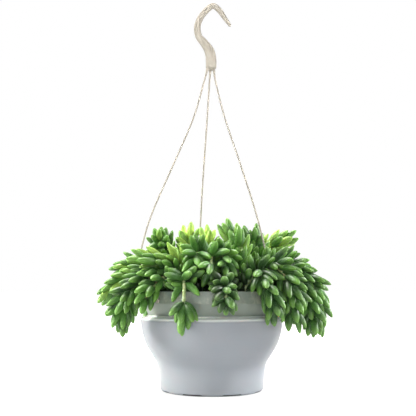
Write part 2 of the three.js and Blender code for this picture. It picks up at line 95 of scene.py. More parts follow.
HOOK_SIDES = 24
HOOK_STEPS = 106
HOOK_TIP_ROUNDING = 2
HOOK_FOOT_ROUNDING = 4
HOOK_LAST_STEPS = (3, 2.2, 1.4, 0.7, 0.2, 0)
STRAND_RADIUS = 1.2
STRAND_SIDES = 14
STRAND_STEP = 5
FLARE = 1.5
FLARE_LENGTH = 20
ROD_SIDES = 24
HANGER_HOLE_HEIGHT = 124
HANGER_HOLE_RADIUS = 2.3
SPARE_HOLE_RADIUS = 1.4
SPARE_HOLE_TURN = 16
PEG_RADIUS = 1.6
PEG_INSIDE = 5
BUTTON_RADIUS = 3.2
BUTTON_THICKNESS = 1.6
STRAND_BEARINGS = {"left": -48, "right": 72, "back": 192}

STEM_RADIUS = 2.2
STEM_FOOT = 10
TAPER_LENGTH = 8
PATH_PIECES = 8
LEAF_LENGTH = 30
LEAF_RADIUS = 5.4
LEAF_GAP = 0.75
OWN_GAP = -0.6
ROOT_DEPTH = 0.2
GOLDEN_ANGLE = 2.399963

# Outer outline of the pot from the underside up, inner outline from the rim down.
OUTER = [
    (FOOT_RADIUS, 0), (FOOT_RADIUS + 0.2, FOOT_RISE - 0.3), (70.7, FOOT_RISE), (71.2, FOOT_RISE + 0.8),
    (74.3, 27), (76.7, 38), (83.3, 49), (91.6, 63), (97.3, 80), (SHOULDER_RADIUS, 96.4),
    LEDGE_EDGE, LEDGE_CREASE, (LIP_RADIUS, LIP_FOOT), (LIP_RADIUS, POT_HEIGHT),
]
INNER = [
    (LIP_RADIUS - WALL, POT_HEIGHT), (LIP_RADIUS - WALL, LIP_FOOT + 0.6), (85.6, 102),
    (85.6, 99.9), (97.8, 99), (98, 96.8), (95.5, 80.5), (89.9, 64), (81.6, 50.1), (75, 39),
    (72.5, 27.5), (69.6, FLOOR),
]

# Hook, from its free tip over the top and down to the end that the strands leave: x, z, radius.
HOOK = [
    (28, 525, 2.2), (19.1, 538.4, 3.2), (10.5, 551, 4.1), (1.7, 556.6, 4.5), (-6.8, 550.6, 4.6),
    (-16, 539.1, 4.7), (-21, 525, 4.9), (-19, 510, 5.2), (-10.5, 499, 6.1), (-3.2, 487, 7.5),
    (-0.8, 474, 7.9), (-1, 459, 7.7),
]
STRANDS = {
    "left": [
        (-5.2, -0.8, 464), (-11.2, -3, 440), (-26.7, -11, 383), (-55.9, -20, 311),
        (-84.1, -29, 242), (-97, -34, 194), (-95.5, -39, 173), (-88, -46, 157),
        (-77, -54, 146), (-67.6, -60, 132),
    ],
    "right": [
        (2.6, -0.6, 464), (6, -1.5, 440), (19.2, -6.2, 385), (41.7, -12.4, 314), (62.7, -18.6, 244),
        (78, -24.8, 176.6), (87, -28.3, 131),
    ],
    "back": [
        (-1.6, 3.4, 464), (-3.3, 6.5, 440), (-8, 26, 370), (-13.9, 49, 288), (-18, 72, 207),
        (-18.8, 88.6, 133),
    ],
}

# One row for each stem: name; where it stands in the mix; the points that it then passes; bare
# length above the mix; number of leaves; how they crowd towards the tip, more so below 1; leaf
# length's scale; the leaves' spread from the stem at its base and at its tip, in degrees; how
# far they droop; seed. A stem named in BARE has no leaves between two shares of its length.
STEMS = [
    ("tail_front_right_inner", (34, -46),
     ((60, -62, 162), (65, -78, 154), (74, -88, 137), (78, -90, 116)),
     12, 13, 0.8, 1.0, 66, 42, 0.5, 41),
    ("tail_front_right", (44, -20),
     ((69, -36, 162), (84, -50, 170), (97, -62, 156), (104, -71, 135), (106, -74, 108)),
     8, 20, 0.8, 1.05, 64, 34, 0.5, 11),
    ("tail_front_right_outer", (54, -14),
     ((100, -24, 166), (117, -40, 156), (127, -48, 135), (133, -52, 114), (135, -53, 98)),
     18, 15, 0.8, 1.0, 62, 34, 0.4, 36),
    ("tail_left", (-40, -30),
     ((-54, -44, 165), (-73, -52, 161), (-91, -59, 151), (-106, -65, 137), (-116, -69, 118),
      (-121, -70, 101)),
     14, 21, 0.8, 1.05, 70, 42, 0.6, 12),
    ("branch_left_front", (-48, -48),
     ((-62, -58, 153), (-73, -70, 147), (-82, -80, 137), (-88, -84, 126)),
     10, 8, 0.8, 0.9, 66, 34, 0.6, 35),
    ("hanging_front_left", (-31, -66),
     ((-37, -78, 150), (-36, -96, 143), (-36, -104, 125), (-36, -105, 103)),
     16, 20, 0.6, 1.0, 74, 24, 0.3, 13),
    ("hanging_front", (14, -66),
     ((16, -82, 143), (16, -98, 142), (17, -110, 132), (17, -117, 122)),
     32, 9, 0.8, 0.74, 84, 44, 0.2, 14),
    ("tail_right", (62, 0),
     ((101, -6, 169), (120, -18, 164), (134, -28, 150), (142, -34, 127), (144, -36, 99)),
     18, 20, 0.8, 1.05, 62, 34, 0.4, 15),
    ("arch_front_left", (-8, -20),
     ((-11, -30, 176), (-18, -46, 188), (-21, -62, 183), (-23, -70, 170)),
     26, 11, 0.8, 1.0, 84, 44, 0.6, 16),
    ("arch_front_right", (14, -18),
     ((9, -28, 174), (14, -44, 184), (16, -60, 181), (17, -70, 167)),
     26, 11, 0.8, 1.0, 84, 44, 0.6, 42),
    ("arch_front", (3, -30),
     ((-3, -40, 171), (-1, -56, 182), (-1, -74, 177), (-1, -84, 163)),
     22, 11, 0.8, 1.0, 84, 44, 0.6, 44),
    ("branch_right", (58, 20),
     ((93, 14, 172), (109, 8, 174), (123, 0, 169)),
     20, 12, 0.8, 1.0, 58, 36, 0.2, 17),
    ("branch_upper_right", (42, 26),
     ((65, 30, 182), (80, 30, 195), (94, 28, 203), (104, 26, 206)),
     26, 15, 0.75, 1.05, 66, 34, 0, 18),
    ("upright_front", (22, -22),
     ((35, -24, 168), (34, -22, 196), (27, -20, 216)),
     28, 11, 0.8, 1.15, 60, 22, 0, 19),
    ("upright_right", (40, 4),
     ((58, 4, 175), (61, 4, 193), (58, 3, 208)),
     32, 11, 0.75, 1.1, 66, 28, 0, 20),
    ("upright_centre", (-2, 12),
     ((-10, 14, 181), (-8, 12, 198), (-8, 10, 208)),
     32, 11, 0.7, 0.95, 66, 34, 0, 21),
    ("upright_centre_left", (-20, 10),
     ((-23, 18, 178), (-32, 22, 199), (-34, 22, 212)),
     30, 12, 0.7, 1.05, 64, 28, 0, 43),
    ("upright_left", (-46, 22),
     ((-63, 20, 178), (-70, 12, 201), (-72, -4, 209)),
     26, 14, 0.6, 0.9, 92, 40, -0.3, 22),
    ("branch_left_upper", (-24, -14),
     ((-36, -24, 166), (-52, -38, 173), (-70, -50, 174), (-90, -56, 174)),
     20, 14, 0.8, 1.15, 44, 20, 0, 23),
    ("branch_left", (-58, 4),
     ((-74, 0, 169), (-99, -4, 172), (-123, -6, 167)),
     20, 11, 0.8, 1.0, 52, 32, 0.2, 24),
    ("branch_far_left", (-64, -12),
     ((-78, -14, 159), (-104, -18, 156), (-128, -20, 148), (-141, -21, 137)),
     16, 14, 0.8, 1.0, 58, 34, 0.4, 25),
    ("shoot_front_right", (44, -54),
     ((46, -60, 148), (47, -64, 162)),
     6, 5, 0.9, 0.6, 60, 40, 0, 26),
    ("tail_back", (5, 52),
     ((8, 74, 152), (10, 97, 149), (11, 110, 126), (11, 113, 104)),
     10, 11, 0.85, 1, 62, 34, 0.4, 27),
    ("tail_back_left", (-44, 44),
     ((-60, 62, 152), (-76, 80, 149), (-86, 90, 126), (-89, 93, 104)),
     10, 11, 0.85, 1, 62, 34, 0.4, 28),
    ("tail_back_right", (48, 46),
     ((64, 60, 152), (80, 75, 149), (90, 86, 126), (93, 89, 104)),
     10, 11, 0.85, 1, 62, 34, 0.4, 29),
    ("branch_right_back", (64, 34),
     ((86, 42, 158), (108, 46, 164), (123, 48, 154), (130, 49, 140)),
     12, 9, 0.85, 1, 60, 34, 0.3, 30),
    ("branch_left_back", (-66, 26),
     ((-88, 34, 156), (-109, 38, 160), (-122, 40, 148), (-128, 40, 134)),
     12, 9, 0.85, 1, 60, 34, 0.3, 31),
    ("upright_back", (14, 34),
     ((17, 40, 156), (19, 44, 176)),
     14, 7, 0.85, 1, 60, 34, 0, 32),
    ("upright_back_left", (-24, 36),
     ((-32, 46, 156), (-37, 52, 176)),
     14, 7, 0.85, 1, 60, 34, 0, 33),
]

BARE = {"hanging_front_left": (0.4, 0.76)}

# Low young shoots between the stems, in the shade: where each stands in the mix.
SHOOTS = [(-54, 58), (-26, 68), (22, 70), (58, 54), (-76, 30), (76, 24), (-4, 40), (-34, 22), (30, 26),
          (8, -50), (-16, -50), (-58, -34), (-10, -8), (24, -60), (-78, -8), (80, -12), (62, -40)]
SHOOT_HEIGHT = 22

# ------------------------------------------------------------------ paths


def unit(v):
    return v / np.linalg.norm(v)


def smooth_points(points, before, pieces):
    """Catmull-Rom points through the given ones. The curve leaves the first along 'before' to it."""
    points = [np.array(p, float) for p in points]
    out = []
    for i in range(len(points) - 1):
        a = points[i - 1] if i > 0 else np.array(before, float)
        b, c = points[i], points[i + 1]
        d = points[i + 2] if i + 2 < len(points) else 2 * c - b
        for k in range(pieces):
            f = k / pieces
            square, cube = 2 * a - 5 * b + 4 * c - d, 3 * b - a - 3 * c + d
            out.append(0.5 * (2 * b + (c - a) * f + square * f**2 + cube * f**3))
    out.append(points[-1])
    return np.array(out)


class Path:
    """Points with the distance to each, and for each stretch a tangent and an untwisted normal."""

    def __init__(self, points):
        self.points = points
        steps = np.diff(points, axis=0)
        lengths = np.linalg.norm(steps, axis=1)
        self.distances = np.concatenate([[0], np.cumsum(lengths)])
        self.length = self.distances[-1]
        self.tangents = steps / lengths[:, None]
        normal = np.array([1.0, 0, 0])
        self.normals = []
        for tangent in self.tangents:
            normal = unit(normal - tangent * (normal @ tangent))
            self.normals.append(normal)

    def place(self, distance):
        i = 0
        while i + 1 < len(self.tangents) and self.distances[i + 1] <= distance:
            i += 1
        tangent, normal = self.tangents[i], self.normals[i]
        point = self.points[i] + tangent * (distance - self.distances[i])
        return {
            "point": point, "tangent": tangent, "normal": normal,
            "side": np.cross(tangent, normal), "left": self.length - distance,
        }


def open_path(points, pieces=PATH_PIECES):
    points = [np.array(p, float) for p in points]
    return Path(smooth_points(points, 2 * points[0] - points[1], pieces))


def stem_path(foot, through, pieces=PATH_PIECES):
    start = np.array([*foot, SOIL_TOP + 1], float)
    before = start - (0, 0, 2 * STEM_FOOT)
    smooth = smooth_points([start, *through], before, pieces)
    return Path(np.vstack([start - (0, 0, 1 + STEM_FOOT), smooth]))


# ------------------------------------------------------------------ where the leaves grow

LEAF_BALLS = np.array([0.28, 0.45, 0.62, 0.79, 0.93])
BALL_STEP = 3
NEAR = 45


def lehmer(seed):
    state = seed * 7919 + 17

    def draw():
        nonlocal state
        state = (state * 48271) % 2147483647
        return state / 2147483647

    return draw


def stem_radius(left):
    return STEM_RADIUS * min(1, 0.5 + 0.5 * left / TAPER_LENGTH)


def leaf_profile(t):
    neck = 0.3 + 0.7 * np.sin(0.5 * np.pi * np.minimum(1, t / 0.42))
    return neck * (1 - t**5) ** 0.68


def leaf_points(leaf, t):
    t = np.asarray(t, float)[:, None]
    along = leaf["direction"] * leaf["length"] * t
    return leaf["root"] + along + leaf["bend"] * leaf["length"] * leaf["curl"] * t * t


class Taken:
    """Balls that stand for what is in place: centre, radius, owner, rank along a leaf (0: stem)."""

    def __init__(self):
        self.rows = np.zeros((0, 6))

    def add(self, centres, radii, owner, ranks):
        spread_out = [np.broadcast_to(values, len(centres)) for values in (radii, owner, ranks)]
        self.rows = np.vstack([self.rows, np.column_stack([centres, *spread_out])])

    def add_bar(self, path, radius, owner):
        distances = np.arange(0, path.length, BALL_STEP)
        self.add([path.place(d)["point"] for d in distances], radius, owner, 0)

    def near(self, point):
        return self.rows[np.abs(self.rows[:, :3] - point).max(axis=1) < NEAR]


def pot_gap(centres, radii):
    """Least gap between balls and the pot's wall, or the mix where they are inside the rim."""
    r = np.hypot(centres[:, 0], centres[:, 1]) + WALL / 2
    z = centres[:, 2]
    nearest = np.full(len(r), np.inf)
    for (r0, z0), (r1, z1) in zip(OUTER, OUTER[1:]):
        dr, dz = r1 - r0, z1 - z0
        f = np.clip(((r - r0) * dr + (z - z0) * dz) / (dr * dr + dz * dz), 0, 1)
        nearest = np.minimum(nearest, np.hypot(r - r0 - dr * f, z - z0 - dz * f))
    gaps = nearest - WALL / 2 - radii
    inside = r < LIP_RADIUS - WALL / 2
    return np.where(inside, np.minimum(gaps, z - radii - SOIL_TOP), gaps).min()


def fits(centres, radii, owner, near, gap, own_gap):
    if pot_gap(centres, radii) < gap:
        return False
    if not len(near):
        return True
    apart = np.linalg.norm(near[:, None, :3] - centres[None], axis=2) - near[:, 3:4] - radii[None]
    own = near[:, 4] == owner
    if (apart[~own] < gap).any():
        return False
    bar = near[:, 5] == 0
    if (apart[own & bar][:, 2:] < CLEARANCE).any():
        return False
    return not (apart[own & (near[:, 5] >= 2)][:, 1:] < own_gap).any()


def turned_leaf(place, spread, turn, length, radius, curl, droop):
    outward = place["normal"] * math.cos(turn) + place["side"] * math.sin(turn)
    direction = place["tangent"] * math.cos(spread) + outward * math.sin(spread)
    pull = place["tangent"] - (0, 0, droop)
    bend = unit(pull - direction * (pull @ direction))
    root = place["point"] + outward * (ROOT_DEPTH * stem_radius(place["left"]))
    return {
        "root": root, "direction": direction, "bend": bend,
        "length": length, "radius": radius, "curl": curl,
    }


SIZES = (1, 0.9, 0.8)
TILTS = (0, -0.26, 0.26, -0.5, 0.5)
TURNS = (0, 0.3, -0.3, 0.6, -0.6)


def fitted_leaf(place, wish, owner, taken, sizes=SIZES, gap=LEAF_GAP, own_gap=OWN_GAP):
    near = taken.near(place["point"])
    for size in sizes:
        for tilt in TILTS:
            for turn in TURNS:
                spread = min(1.7, max(0.15, wish["spread"] + tilt))
                radius = wish["radius"] * (0.55 + 0.45 * size)
                leaf = turned_leaf(place, spread, wish["turn"] + turn, wish["length"] * size, radius,
                                   wish["curl"], wish["droop"])
                centres = leaf_points(leaf, LEAF_BALLS)
                radii = radius * leaf_profile(LEAF_BALLS)
                if fits(centres, radii, owner, near, gap, own_gap):
                    taken.add(centres, radii, owner, np.arange(1, len(LEAF_BALLS) + 1))
                    return leaf
    return None


def wished_leaf(row, u, k, phase, draw):
    _, _, _, _, _, _, scale, base_spread, tip_spread, droop, _ = row
    turn = phase + k * GOLDEN_ANGLE + (draw() - 0.5) * 0.3
    degrees = base_spread + (tip_spread - base_spread) * u**1.5
    spread = math.radians(degrees) + (draw() - 0.5) * 0.2
    young = 1 - 0.18 * max(0, u - 0.7) / 0.3
    length = LEAF_LENGTH * scale * (0.9 + 0.2 * draw()) * young
    radius = LEAF_RADIUS * (0.92 + 0.16 * draw())
    curl = 0.2 + 0.14 * draw()
    return {
        "turn": turn, "spread": spread, "length": length,
        "radius": radius, "curl": curl, "droop": droop,
    }


def is_bare(row, u):
    first, last = BARE.get(row[0], (1, 1))
    return first < u < last


def grow_leaves(path, row, owner, taken):
    """The main leaves of one stem, in a golden-angle spiral from its base to its tip."""
    bare, count, crowd, seed = row[3], row[4], row[5], row[10]
    draw = lehmer(seed)
    phase = draw() * 2 * math.pi
    start = STEM_FOOT + bare
    run = path.length - start - 1
    leaves = []
    for k in range(count):
        u = (k / (count - 1)) ** crowd
        wish = wished_leaf(row, u, k, phase, draw)
        leaf = None if is_bare(row, u) else fitted_leaf(path.place(start + run * u), wish, owner, taken)
        if leaf:
            leaves.append(leaf)
    return leaves


# The small leaves that fill the spaces between the main ones.
FILL_SHARE = 2.4
FILL_SIZES = (1, 0.88, 0.76, 0.66)
FILL_GAP = -0.3
FILL_OWN_GAP = -3.0


def in_box(leaf):
    """Whether a leaf stays inside the box of the frame's own solids."""
    t = np.linspace(0, 1, 12)
    centres, radii = leaf_points(leaf, t), (leaf["radius"] * leaf_profile(t))[:, None]
    return (centres - radii > BOX_LOW).all() and (centres + radii < BOX_HIGH).all()


def fill_leaves(path, row, owner, taken):
    bare, count, crowd, seed = row[3], row[4], row[5], row[10]
    draw = lehmer(seed + 100)
    phase = draw() * 2 * math.pi
    start = STEM_FOOT + 0.6 * bare
    run = path.length - start - 1
    total = round(count * FILL_SHARE)
    leaves = []
    for k in range(total):
        u = ((k + 0.5) / total) ** crowd
        wish = wished_leaf(row, u, k, phase, draw)
        place = path.place(start + run * u)
        leaf = None
        if not is_bare(row, u):
            leaf = fitted_leaf(place, wish, owner, taken, FILL_SIZES, FILL_GAP, FILL_OWN_GAP)
        if leaf and in_box(leaf):
            leaves.append(leaf)
    return leaves


# ------------------------------------------------------------------ meshes


def to_frame(points):
    return np.asarray(points, float) * MM + (0, 0, BASE_Z)


def mesh_piece(name, points, faces, materials, smooth=True, face_slots=None):
    mesh = bpy.data.meshes.new(name)
    mesh.from_pydata(to_frame(points).tolist(), [], [list(f) for f in faces])
    mesh.update()
    for mat in materials:
        mesh.materials.append(mat)
    if smooth:
        mesh.polygons.foreach_set("use_smooth", np.ones(len(mesh.polygons), bool))
    if face_slots is not None:
        mesh.polygons.foreach_set("material_index", np.asarray(face_slots, np.int32))
    piece = bpy.data.objects.new(name, mesh)
    bpy.context.scene.collection.objects.link(piece)
    return piece


def point_attribute(piece, name, values):
    attribute = piece.data.attributes.new(name, "FLOAT", "POINT")
    attribute.data.foreach_set("value", np.asarray(values, np.float32))


def grid_faces(rings, sides, first=0):
    """Quads between rings of points, each ring closed."""
    faces = []
    for i in range(rings - 1):
        for k in range(sides):
            n = (k + 1) % sides
            a = first + i * sides
            faces.append((a + k, a + n, a + sides + n, a + sides + k))
    return faces


def capped_rings(rings, start, end):
    """A closed tube: rings of points with a single point closing each end."""
    sides = len(rings[0])
    points = np.vstack([[start], *rings, [end]])
    faces = [(0, 1 + (k + 1) % sides, 1 + k) for k in range(sides)]
    faces += grid_faces(len(rings), sides, 1)
    last = 1 + (len(rings) - 1) * sides
    tip = len(points) - 1
    faces += [(last + k, last + (k + 1) % sides, tip) for k in range(sides)]
    return points, faces


def circle(centre, across, up, radius_across, radius_up, sides):
    angles = np.arange(sides) * 2 * np.pi / sides
    sideways = np.outer(np.cos(angles) * radius_across, across)
    return centre + sideways + np.outer(np.sin(angles) * radius_up, up)


def tube(path, radius_at, sides, distances):
    rings = []
    for distance in distances:
        place = path.place(distance)
        radius = radius_at(distance)
        rings.append(circle(place["point"], place["normal"], place["side"], radius, radius, sides))
    start, end = path.place(distances[0])["point"], path.place(distances[-1])["point"]
    return capped_rings(rings, start, end)


LEAF_RINGS = 11
LEAF_SIDES = 12
THIN = 0.9


def leaf_mesh(leaf):
    """A plump leaf: rings along its bent centre line, a little flatter across the bend."""
    t = np.linspace(0, 1, LEAF_RINGS + 2)[1:-1]
    t = 0.5 - 0.5 * np.cos(np.pi * t)
    centres = leaf_points(leaf, t)
    side = np.cross(leaf["direction"], leaf["bend"])
    radii = leaf["radius"] * leaf_profile(t)
    rings = [circle(c, side, leaf["bend"], r, r * THIN, LEAF_SIDES) for c, r in zip(centres, radii)]
    start, end = leaf_points(leaf, [0, 1])
    points, faces = capped_rings(rings, start, end)
    along = np.concatenate([[0], np.repeat(t, LEAF_SIDES), [1]])
    return points, faces, along


def stem_mesh(path):
    count = int(path.length / 3)
    distances = np.linspace(STEM_FOOT - 2, path.length, count)
    return tube(path, lambda d: stem_radius(path.length - d), 10, distances)


class Parts:
    """Collects several bits of mesh, with a material slot, a tone and a place along for each."""

    def __init__(self):
        self.points, self.faces, self.slots, self.tones, self.alongs = [], [], [], [], []
        self.count = 0

    def add(self, points, faces, slot, tone, along):
        self.points.append(points)
        self.faces += [tuple(self.count + i for i in face) for face in faces]
        self.slots += [slot] * len(faces)
        self.tones.append(np.full(len(points), tone))
        self.alongs.append(np.broadcast_to(along, len(points)))
        self.count += len(points)

    def build(self, name, materials):
        piece = mesh_piece(name, np.vstack(self.points), self.faces, materials, face_slots=self.slots)
        point_attribute(piece, "tone", np.concatenate(self.tones))
        point_attribute(piece, "along", np.concatenate(self.alongs))
        return piece


# ------------------------------------------------------------------ materials


class Graph:
    """Short ways to add and link the nodes of one material."""

    def __init__(self, name, **values):
        self.material = bpy.data.materials.new(name)
        self.material.use_nodes = True
        self.nodes = self.material.node_tree.nodes
        self.links = self.material.node_tree.links
        self.shader = next(n for n in self.nodes if n.type == "BSDF_PRINCIPLED")
        for socket, value in values.items():
            self.shader.inputs[socket.replace("_", " ")].default_value = value

    def node(self, kind, out=0, inputs=None, **settings):
        node = self.nodes.new("ShaderNode" + kind)
        for key, value in settings.items():
            setattr(node, key, value)
        for socket, value in (inputs or {}).items():
            if isinstance(value, bpy.types.NodeSocket):
                self.links.new(value, node.inputs[socket])
            else:
                node.inputs[socket].default_value = value
        return node.outputs[out]

    def attribute(self, name):
        return self.node("Attribute", out="Fac", attribute_name=name)

    def place(self):
        return self.node("TexCoord", out="Object")

    def noise(self, scale, detail=3.0, roughness=0.55, stretch=None):
        vector = self.place()
        if stretch:
            vector = self.node("Mapping", inputs={0: vector, "Scale": stretch})
        return self.node("TexNoise", inputs={
            "Vector": vector, "Scale": scale, "Detail": detail, "Roughness": roughness})

    def range(self, value, low, high, to_low=0.0, to_high=1.0, smooth=True):
        kind = "SMOOTHSTEP" if smooth else "LINEAR"
        return self.node("MapRange", interpolation_type=kind, inputs={
            "Value": value, "From Min": low, "From Max": high, "To Min": to_low, "To Max": to_high})

    def math(self, operation, a, b):
        return self.node("Math", operation=operation, inputs={0: a, 1: b})

    def mix(self, factor, a, b, blend="MIX"):
        node = self.nodes.new("ShaderNodeMix")
        node.data_type = "RGBA"
        node.blend_type = blend
        for socket, value in (("Factor", factor), ("A", a), ("B", b)):
            target = next(s for s in node.inputs if s.name == socket and s.enabled)
            if isinstance(value, bpy.types.NodeSocket):
                self.links.new(value, target)
            else:
                target.default_value = value
        return next(s for s in node.outputs if s.enabled)

    def bump(self, height, distance, strength=1.0, below=None):
        inputs = {"Height": height, "Distance": distance, "Strength": strength}
        if below:
            inputs["Normal"] = below
        return self.node("Bump", inputs=inputs)

    def set(self, socket, value):
        self.links.new(value, self.shader.inputs[socket])


def rgb(red, green, blue):
    """A colour from its sRGB values, 0 to 255."""
    def linear(v):
        v /= 255
        return v / 12.92 if v <= 0.04045 else ((v + 0.055) / 1.055) ** 2.4
    return (linear(red), linear(green), linear(blue), 1)


def leaf_material():
    g = Graph("succulent_leaf", Subsurface_Weight=0.12, Subsurface_Scale=0.004, Specular_IOR_Level=0.36,
              Coat_Weight=0.04, Coat_Roughness=0.35, Sheen_Weight=0.04, Sheen_Roughness=0.4)
    g.shader.inputs["Subsurface Radius"].default_value = (0.6, 1.0, 0.25)
    tone, along = g.attribute("tone"), g.attribute("along")
    green = g.mix(g.range(tone, 0, 0.75), rgb(22, 58, 15), rgb(60, 107, 34))
    # Painted sunlight: a high tone turns the leaves towards a glowing yellow green.
    green = g.mix(g.range(tone, 0.6, 1.6), green, rgb(178, 206, 92))
    patches = g.range(g.noise(70, 2), 0.35, 0.7)
    green = g.mix(g.math("MULTIPLY", patches, 0.35), green, rgb(72, 114, 48))
    tip = g.math("MULTIPLY", g.range(along, 0.55, 1.0), 0.45)
    green = g.mix(tip, green, rgb(112, 160, 56))
    # Painted shade: each leaf darker towards its base, where it meets the stem between the other leaves.
    root = g.math("MULTIPLY", g.range(along, 0.25, 0.0), 0.6)
    green = g.mix(root, green, rgb(40, 70, 30))
    bloom = g.math("MULTIPLY", g.range(g.noise(420, 5, 0.7), 0.45, 0.72), 0.2)
    green = g.mix(bloom, green, rgb(140, 168, 118))
    # Painted shade: a tone below zero, from a stem's painted shade or from leaf_shade(), turns the
    # leaves nearly black green.
    green = g.mix(g.range(tone, 0, -1.2), green, rgb(16, 30, 10))
    g.set("Base Color", green)
    g.set("Roughness", g.range(g.noise(260, 4), 0.3, 0.7, 0.36, 0.58))
    fine = g.bump(g.noise(1500, 3), 0.00006, 0.5)
    g.set("Normal", g.bump(g.noise(180, 2), 0.0004, 0.6, below=fine))
    return g.material


def stem_material():
    g = Graph("succulent_stem", Subsurface_Weight=0.2, Subsurface_Scale=0.002, Roughness=0.6)
    streaks = g.range(g.noise(300, 4), 0.35, 0.65)
    color = g.mix(streaks, rgb(128, 150, 88), rgb(176, 186, 138))
    g.set("Base Color", color)
    g.set("Normal", g.bump(g.noise(600, 4), 0.0003, 0.7))
    return g.material


def pot_material():
    g = Graph("pot_plastic", Specular_IOR_Level=0.5, Coat_Weight=0.15, Coat_Roughness=0.3,
              Subsurface_Weight=0.08, Subsurface_Scale=0.003)
    height = g.node("SeparateXYZ", out="Z", inputs={0: g.place()})

    def rises(low, high):
        """0 at one height above the underside, 1 at the other."""
        return g.range(height, BASE_Z + low * MM, BASE_Z + high * MM)

    cloud = g.range(g.noise(9, 2), 0.3, 0.7)
    color = g.mix(cloud, rgb(117, 122, 128), rgb(128, 132, 138))
    # Painted light: the lower wall lighter, as if lit from the floor.
    color = g.mix(g.math("MULTIPLY", rises(50, 20), 0.22), color, rgb(168, 172, 176))
    # Painted shade and a painted green reflection of the foliage: flare and lip darker and greener above
    # the ledge.
    color = g.mix(g.math("MULTIPLY", rises(100, 103), 0.8), color, rgb(104, 114, 99))
    # Painted highlight: a near-white band along the ledge, lightening its shaded crease.
    painted_ledge_highlight = g.math("MULTIPLY", rises(96, 99.5), rises(104.2, 103))
    color = g.mix(painted_ledge_highlight, color, rgb(218, 221, 217))
    lip = rises(LIP_FOOT - 0.8, LIP_FOOT + 0.5)
    stain = g.math("MULTIPLY", lip, g.range(g.noise(60, 6, 0.75, (1, 1, 0.6)), 0.42, 0.7))
    color = g.mix(g.math("MULTIPLY", stain, 0.5), color, rgb(168, 172, 148))
    scuff = g.range(g.noise(240, 5, 0.7, (1, 1, 0.2)), 0.62, 0.75)
    color = g.mix(g.math("MULTIPLY", scuff, 0.2), color, rgb(166, 170, 170))
    # Painted shade: the faces inside the foot slots nearly black, as the shadow under the pot.
    flat = g.node("VectorMath", operation="MULTIPLY", inputs={0: g.place(), 1: (1, 1, 0)})
    reach = g.node("VectorMath", out="Value", operation="LENGTH", inputs={0: flat})
    inside = g.range(reach, (FOOT_RADIUS - 0.4) * MM, (FOOT_RADIUS - 0.9) * MM)
    slots = g.math("MULTIPLY", rises(FOOT_RISE + 0.2, FOOT_RISE), inside)
    color = g.mix(g.math("MULTIPLY", slots, 0.97), color, rgb(16, 16, 17))
    g.set("Base Color", color)
    g.set("Roughness", g.range(g.noise(30, 4), 0.3, 0.7, 0.36, 0.5))
    g.set("Normal", g.bump(g.noise(700, 3), 0.00005, 0.6))
    return g.material


def hanger_material():
    g = Graph("hanger_plastic", Specular_IOR_Level=0.2, Subsurface_Weight=0.1, Subsurface_Scale=0.001)
    g.shader.inputs["Subsurface Radius"].default_value = (1.0, 0.9, 0.7)
    cloud = g.range(g.noise(40, 3), 0.3, 0.7)
    g.set("Base Color", g.mix(cloud, rgb(149, 143, 132), rgb(157, 151, 141)))
    g.set("Roughness", g.range(g.noise(90, 2), 0.3, 0.7, 0.62, 0.72))
    g.set("Normal", g.bump(g.noise(160, 2), 0.00005, 0.4))
    return g.material


def soil_material():
    g = Graph("potting_mix_matter", Specular_IOR_Level=0.2)
    grains = g.range(g.noise(320, 6, 0.75), 0.3, 0.72)
    color = g.mix(grains, rgb(22, 16, 12), rgb(64, 48, 36))
    g.set("Base Color", color)
    g.set("Roughness", g.range(g.noise(90, 3), 0.3, 0.7, 0.8, 0.98))
    g.set("Normal", g.bump(g.noise(520, 6, 0.8), 0.0012, 1.0))
    return g.material


def chip_material():
    g = Graph("bark_chip", Specular_IOR_Level=0.25)
    color = g.mix(g.attribute("tone"), rgb(58, 40, 27), rgb(142, 112, 82))
    streak = g.range(g.noise(240, 4), 0.4, 0.7)
    g.set("Base Color", g.mix(g.math("MULTIPLY", streak, 0.5), color, rgb(40, 30, 22)))
    g.set("Roughness", g.range(g.noise(150, 3), 0.3, 0.7, 0.7, 0.95))
    g.set("Normal", g.bump(g.noise(500, 5), 0.0006, 0.9))
    return g.material


def floor_material():
    g = Graph("glowing_studio_floor", Roughness=0.7, Specular_IOR_Level=0.1)
    g.shader.inputs["Base Color"].default_value = (0.48, 0.48, 0.48, 1)
    g.shader.inputs["Emission Color"].default_value = (1, 1, 1, 1)
    # Painted light: the floor glows, not at all within 0.1 m of the pot's axis, rising to nearly white
    # 1.6 m away.
    away = g.node("VectorMath", out="Value", operation="LENGTH", inputs={0: g.place()})
    near = g.range(away, 0.1, 0.2, 0.0, 0.42)
    g.set("Emission Strength", g.math("MAXIMUM", near, g.range(away, 0.4, 1.6, 0.42, 0.97)))
    return g.material


# ------------------------------------------------------------------ pot


def bearing_direction(degrees):
    angle = math.radians(degrees)
    return np.array([math.sin(angle), -math.cos(angle), 0])


def corner_rounding(corner):
    """How far a corner of the pot is rounded: more along the ledge than elsewhere."""
    r, z = corner
    on_ledge = abs(z - LEDGE_EDGE[1]) < 4 and r > LEDGE_CREASE[0] - 1
    return LEDGE_ROUNDING if on_ledge else CORNER_ROUNDING


def rounded(outline, steps=5):
    """The outline with each corner rounded, less where its sides are short, and a point close to
    each rounding, which keeps the flats beside it flat."""
    points = [np.array(p, float) for p in outline]
    out = [points[0]]
    for before, corner, after in zip(points, points[1:], points[2:]):
        to_before, to_after = before - corner, after - corner
        shortest = min(np.linalg.norm(to_before), np.linalg.norm(to_after))
        reach = min(corner_rounding(corner), 0.42 * shortest)
        a, b = corner + unit(to_before) * reach, corner + unit(to_after) * reach
        out.append(a + unit(to_before) * 0.12 * reach)
        for k in range(steps + 1):
            f = k / steps
            out.append(a * (1 - f) ** 2 + corner * 2 * f * (1 - f) + b * f * f)
        out.append(b + unit(to_after) * 0.12 * reach)
    out.append(points[-1])
    return out


